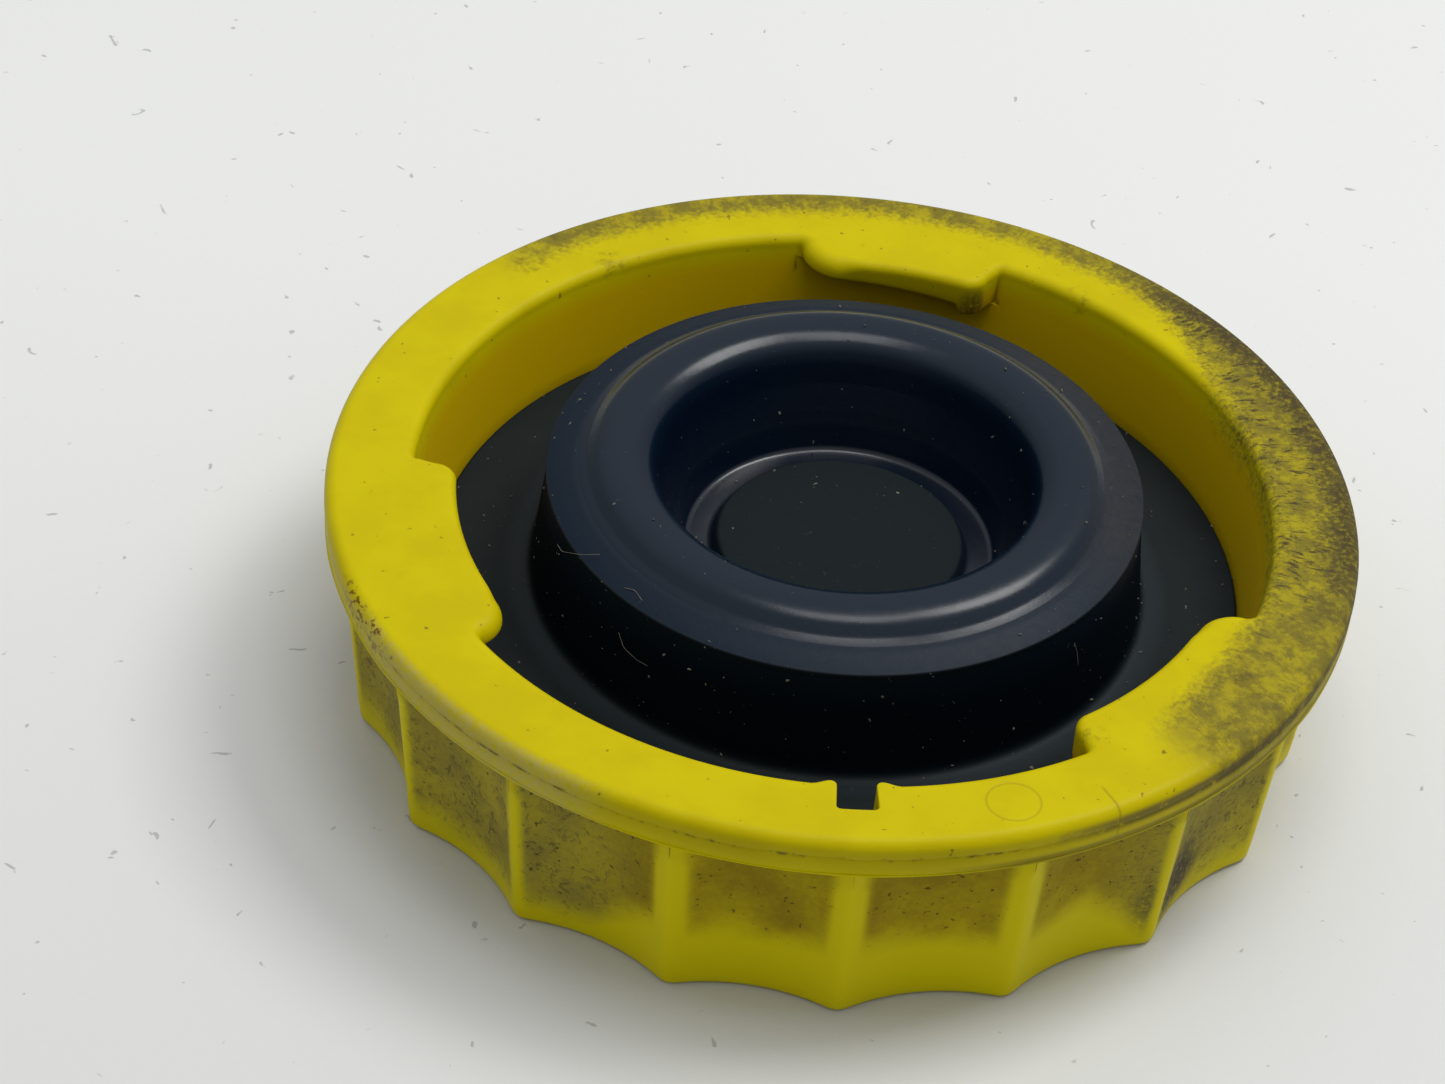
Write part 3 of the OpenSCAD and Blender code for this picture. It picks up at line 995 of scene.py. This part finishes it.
# %% [markdown]
# ## Rubber
# The rubber is nearly black with a blue cast. The crown has been rubbed smooth and shines
# softly, while the wall and the flange are matt and a little dusty. One material does
# both, with its colour and roughness following the place on the profile. Its colour also
# holds painted light: painted shade darkens the bellows wall and the well, and a painted
# highlight lightens the fillet at the wall's foot. The height is the one at rest, which
# each point carries, so that the finish moves with the cup.

# %% Rubber
rubber = bpy.data.materials.new("rubber")


def dress_rubber():
    tree = surface_of(rubber)
    place, radius, angle, _ = round_place(tree)
    height = tree.add("ShaderNodeAttribute", attribute_name="rest_height", out="Fac")
    cloud = tree.noise(place, 0.16, 4, 0.6)
    fine = tree.noise(place, 1.6, 5, 0.7)
    grain = tree.noise(place, 9.0, 2, 0.5)
    crown_top = tree.times(tree.fade(radius, 20.5, 19.9),
                           tree.fade(height, rim_z - 5.5, rim_z + 0.6))
    groove = tree.times(tree.fade(radius, 11.9, 11.3), tree.fade(radius, 8.7, 9.1),
                        tree.fade(height, rim_z - 2.2, rim_z - 3.4))
    shiny = tree.most(crown_top, groove)
    # Painted shade: the well is painted darker and bluer than the crown round it
    painted_shade_in_well = tree.times(tree.fade(radius, 13.6, 12.4), tree.fade(height, rim_z + 2.4, rim_z + 1.0))
    disc = tree.times(tree.fade(radius, 8.6, 8.1), tree.fade(height, rim_z - 3.5, rim_z - 3.8))
    # Painted shade: the bellows wall is painted darker; its higher roughness and weaker gloss are
    # its own
    wall = tree.times(tree.fade(radius, 21.3, 20.7), tree.fade(radius, 18.5, 19.5),
                      tree.fade(height, rim_z + 1.7, rim_z + 0.2))
    # Painted highlight: the fillet at the wall's foot is painted lighter
    foot = tree.times(tree.fade(radius, 23.0, 21.8), tree.fade(radius, 20.9, 21.3),
                      tree.fade(height, flange_z + 1.4, flange_z + 0.5))
    dusty = tree.times(tree.fade(tree.noise(place, 3.4, 3, 0.6), 0.69, 0.76), 0.5)
    haze = tree.times(at_angle(tree, angle, 20, 26, 30), tree.fade(radius, 15.5, 18.5),
                      tree.fade(height, rim_z - 1, rim_z + 0.8), fine)
    plain = tree.mix(tree.fade(cloud, 0.3, 0.7), (0.0045, 0.0078, 0.0085),
                     (0.0065, 0.0105, 0.0115))
    colour = tree.coats(plain, (
        # Painted shade on the bellows wall
        (wall, 1.0, (0.0003, 0.0028, 0.0056)),
        # Painted highlight on the fillet at the wall's foot
        (foot, 1.0, (0.011, 0.0165, 0.0195)),
        (shiny, 1.0, (0.0016, 0.0072, 0.0165)),
        # Painted shade in the well
        (painted_shade_in_well, 1.0, (0.0008, 0.004, 0.011)),
        (disc, 1.0, (0.0052, 0.0092, 0.0105)),
        (haze, 0.5, (0.05, 0.042, 0.03)),
        (dusty, 1.0, (0.06, 0.055, 0.045))))
    rough = tree.math("MULTIPLY_ADD", shiny, -0.4, tree.math("MULTIPLY_ADD", fine, 0.14, 0.56))
    shoulder = tree.times(tree.fade(radius, 17.6, 18.6), shiny, 0.9)
    rough = tree.math("MULTIPLY_ADD", tree.most(disc, wall, shoulder), 0.26, rough)
    matt = tree.most(disc, shoulder)
    bead = tree.math("SUBTRACT", shiny, tree.times(shiny, matt))
    gloss = tree.math("MULTIPLY_ADD", tree.most(bead, tree.times(groove, 1.8)), 0.17, 0.155)
    gloss = tree.times(gloss, tree.math("MULTIPLY_ADD", wall, -0.7, 1.0))
    relief = tree.math("MULTIPLY_ADD", fine, 0.8, tree.math("MULTIPLY", grain, 0.35))
    relief = tree.times(relief, tree.math("MULTIPLY_ADD", bead, -0.7, 1.0))
    finish_surface(tree, colour, rough, relief, 0.00003, IOR=1.45, Specular_IOR_Level=gloss)


dress_rubber()
for piece in (skirt, crown):
    piece.data.materials.append(rubber)
print(f"rubber: {len(rubber.node_tree.nodes)} nodes")

# %% [markdown]
# ## Dust on the rubber
# Dust lies at random, so a Geometry Nodes tree scatters it: small grains on the faces that
# look up or outwards, with a fixed seed, each turned and sized at random. The skirt and
# the crown get their own dust, so that it moves with them. Four fibres are thin tubes
# along lists of points, since no rule gives their places.

# %% Dust
dust = bpy.data.materials.new("dust")
FULL_TURN, GRAIN_SHAPE = 6.283, (1.6, 1.0, 0.6)


def dress_dust():
    tree = surface_of(dust)
    place, *_ = round_place(tree)
    cloud = tree.noise(place, 0.3, 3)
    colour = tree.mix(tree.fade(cloud, 0.35, 0.65), (0.05, 0.055, 0.05), (0.17, 0.15, 0.11))
    rough = tree.math("MULTIPLY_ADD", cloud, 0.2, 0.7)
    finish_surface(tree, colour, rough, cloud, 0.00001)


def dust_tree():
    group, tree, given = new_tree("scatter dust", {
        "Per square metre": "Float", "Smallest": "Float", "Largest": "Float", "Lowest": "Float",
        "Wall radius": "Float", "Seed": "Int", "Material": "Material"})
    normal = tree.add("GeometryNodeInputNormal")
    looks_up = tree.add("ShaderNodeSeparateXYZ", {0: normal}, out=2)
    _, _, z, radius = tree.parts(tree.add("GeometryNodeInputPosition"))
    open_side = tree.most(tree.math("GREATER_THAN", looks_up, 0.12),
                          tree.math("GREATER_THAN", radius, given["Wall radius"]))
    open_side = tree.times(open_side, tree.math("GREATER_THAN", z, given["Lowest"]))
    points = tree.add("GeometryNodeDistributePointsOnFaces", {
        "Mesh": given["Geometry"], "Density": given["Per square metre"],
        "Seed": given["Seed"], "Selection": open_side}, out="Points")
    grain = tree.add("GeometryNodeMeshIcoSphere", {"Radius": 1.0, "Subdivisions": 1})
    # A random number from 0 to 1, cubed, so that most grains are small
    size = tree.add("FunctionNodeRandomValue", {"Seed": given["Seed"]}, out=1, data_type="FLOAT")
    spread = tree.math("SUBTRACT", given["Largest"], given["Smallest"])
    size = tree.math("MULTIPLY_ADD", tree.math("POWER", size, 3.0), spread, given["Smallest"])
    turn = tree.add("FunctionNodeRandomValue", {"Seed": given["Seed"]}, data_type="FLOAT_VECTOR")
    turn.node.inputs[1].default_value = (FULL_TURN, FULL_TURN, FULL_TURN)
    flat = tree.add("ShaderNodeVectorMath", {0: GRAIN_SHAPE, "Scale": size}, operation="SCALE")
    grains = tree.add("GeometryNodeInstanceOnPoints", {
        "Points": points, "Instance": grain, "Rotation": turn, "Scale": flat})
    end_tree(tree, grains, given["Material"])
    return group


dress_dust()
scatter_dust = dust_tree()
dust_sizes = {"Smallest": 0.025 * MM, "Largest": 0.13 * MM, "Lowest": (flange_z - 0.3) * MM,
              "Wall radius": 19.9 * MM, "Material": dust}
skirt_dust = new_piece("dust_on_skirt", skirt.data.copy())
apply_tree(skirt_dust, scatter_dust, {**dust_sizes, "Per square metre": 0.24e6, "Seed": 3})
crown_dust = new_piece("dust_on_crown", crown.data.copy())
apply_tree(crown_dust, scatter_dust, {**dust_sizes, "Per square metre": 0.14e6, "Seed": 8})
print(f"dust: {len(skirt_dust.data.polygons) + len(crown_dust.data.polygons)} faces")

# %% Fibres


def fibre_mesh(paths, thick, sides=5):
    """Thin closed tubes through lists of points, as one mesh."""
    verts, faces = [], []
    for points in paths:
        p = np.array(points, float)
        t = np.linspace(0, len(p) - 1, 4 * len(p))
        p = np.stack([np.interp(t, np.arange(len(p)), p[:, i]) for i in range(3)], 1)
        p[1:-1] = (p[:-2] + 2 * p[1:-1] + p[2:]) / 4
        ahead = np.gradient(p, axis=0)
        ahead /= np.linalg.norm(ahead, axis=1)[:, None]
        side = np.cross(ahead, (0, 0, 1.0))
        side /= np.linalg.norm(side, axis=1)[:, None]
        over = np.cross(side, ahead)
        first, a = len(verts), np.arange(sides)[:, None] * 2 * math.pi / sides
        for i in range(len(p)):
            ring = p[i] + thick * (np.cos(a) * side[i] + np.sin(a) * over[i])
            verts += ring.tolist()
        for i in range(len(p) - 1):
            for k in range(sides):
                u, v = first + i * sides + k, first + i * sides + (k + 1) % sides
                faces.append((u, v, v + sides, u + sides))
        faces.append(tuple(first + k for k in reversed(range(sides))))
        faces.append(tuple(first + (len(p) - 1) * sides + k for k in range(sides)))
    mesh = bpy.data.meshes.new("fibres")
    mesh.from_pydata((np.array(verts) * MM).tolist(), [], faces)
    if volume_of(mesh) < 0:
        mesh.flip_normals()
    mesh.materials.append(dust)
    mesh.shade_smooth()
    return mesh


# Radius, angle, and height above the rim face, of the points along each fibre
fibre_paths = (
    ((20.6, 206, 0.3), (20.9, 210, 0.9), (20.2, 214, 1.5), (19.2, 216, 1.7)),
    ((20.5, 228, -1.5), (20.7, 230, -2.2), (20.6, 233, -2.6), (20.75, 236, -2.4)),
    ((19.6, 226, 1.42), (19.3, 228, 1.52), (19.6, 231, 1.43)),
    ((20.4, 322, -0.6), (20.5, 323, -1.6), (20.7, 323, -2.6)))
fibre_points = [[(*polar(r, a), rim_z + z) for r, a, z in path] for path in fibre_paths]
fibres = new_piece("fibres_on_skirt", fibre_mesh(fibre_points, 0.018))
print(f"fibres: {len(fibres.data.polygons)} faces")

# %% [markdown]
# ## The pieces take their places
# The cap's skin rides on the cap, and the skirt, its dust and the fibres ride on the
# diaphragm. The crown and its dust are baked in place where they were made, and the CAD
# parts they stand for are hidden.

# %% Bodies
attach(cap, "cap")
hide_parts("cap_moulding")
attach(skirt, "diaphragm")
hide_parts("seal_flange", "bellows_wall")
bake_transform(crown)
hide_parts("rolling_wall", "centre_cup")
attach(skirt_dust, "diaphragm")
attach(fibres, "diaphragm")
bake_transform(crown_dust)

# %% [markdown]
# ## Table and light
# The cap lies on a pale table, painted darker towards the front as painted shade. The sky
# does most of the lighting, as in a white room: it is brightest overhead and at the back.
# Two soft lamps, one high at the back right and one overhead, cast the shadow and give the
# rubber its highlights.

# %% Table and light
table = bpy.data.materials.new("table")


def dress_table():
    tree = surface_of(table)
    place = tree.add("ShaderNodeTexCoord", out="Object")
    cloud = tree.noise(place, 9.0, 3)
    grain = tree.noise(place, 900.0, 3, 0.6)
    # Painted shade: the table's colour is darker towards the front than at the back
    back = tree.add("ShaderNodeSeparateXYZ", {0: place}, out=1)
    colour = tree.mix(tree.fade(back, -0.09, 0.06), (0.51, 0.51, 0.50), (0.62, 0.62, 0.61))
    colour = tree.mix(tree.times(cloud, 0.15), colour, (0.74, 0.74, 0.72))
    lint = tree.fade(tree.noise(place, 650.0, 2, 0.5, Distortion=0.8), 0.715, 0.75)
    colour = tree.mix(tree.times(lint, 0.55), colour, (0.2, 0.2, 0.19))
    rough = tree.math("MULTIPLY_ADD", cloud, 0.1, 0.5)
    finish_surface(tree, colour, rough, grain, 0.00003)


dress_table()
floor_mesh = bpy.data.meshes.new("table_top")
# The table is just below the closed face, because two faces in one plane would flicker
table_z, table_half = -0.02 * MM, 2
floor_corners = [(x * table_half, y * table_half, table_z)
                 for x, y in ((-1, -1), (1, -1), (1, 1), (-1, 1))]
floor_mesh.from_pydata(floor_corners, [], [(0, 1, 2, 3)])
floor_mesh.materials.append(table)
floor = new_piece("table_top", floor_mesh)


def soft_lamp(name, at, size, power, colour):
    """A square lamp that looks at the cap."""
    data = bpy.data.lights.new(name, "AREA")
    data.size, data.energy, data.color = size, power, colour
    lamp = bpy.data.objects.new(name, data)
    lamp.location = at
    lamp.rotation_euler = (Vector(at) * -1).to_track_quat("-Z", "Y").to_euler()
    bpy.context.scene.collection.objects.link(lamp)


soft_lamp("window", (0.4, 0.22, 0.8), 0.36, 4.3, (1.0, 0.99, 0.96))
soft_lamp("ceiling", (0.05, 0.0, 1.0), 0.4, 2.6, (0.97, 0.99, 1.0))
world = bpy.data.worlds.new("sky")
world.use_nodes = True
sky = world.node_tree.nodes["Background"]
sky.inputs["Color"].default_value = (0.96, 0.98, 1.0, 1.0)
room = Tree(world.node_tree)
looking = room.add("ShaderNodeTexCoord", out="Generated")
back, height = (room.add("ShaderNodeSeparateXYZ", {0: looking}, out=i) for i in (1, 2))
brightness = room.times(room.math("MULTIPLY_ADD", room.fade(height, 0.05, 1.0), 0.6, 0.3),
                        room.math("MULTIPLY_ADD", room.fade(back, -0.8, 0.3), 0.2, 0.8))
world.node_tree.links.new(brightness, sky.inputs["Strength"])
bpy.context.scene.world = world
bpy.context.scene.view_settings.view_transform = "Standard"
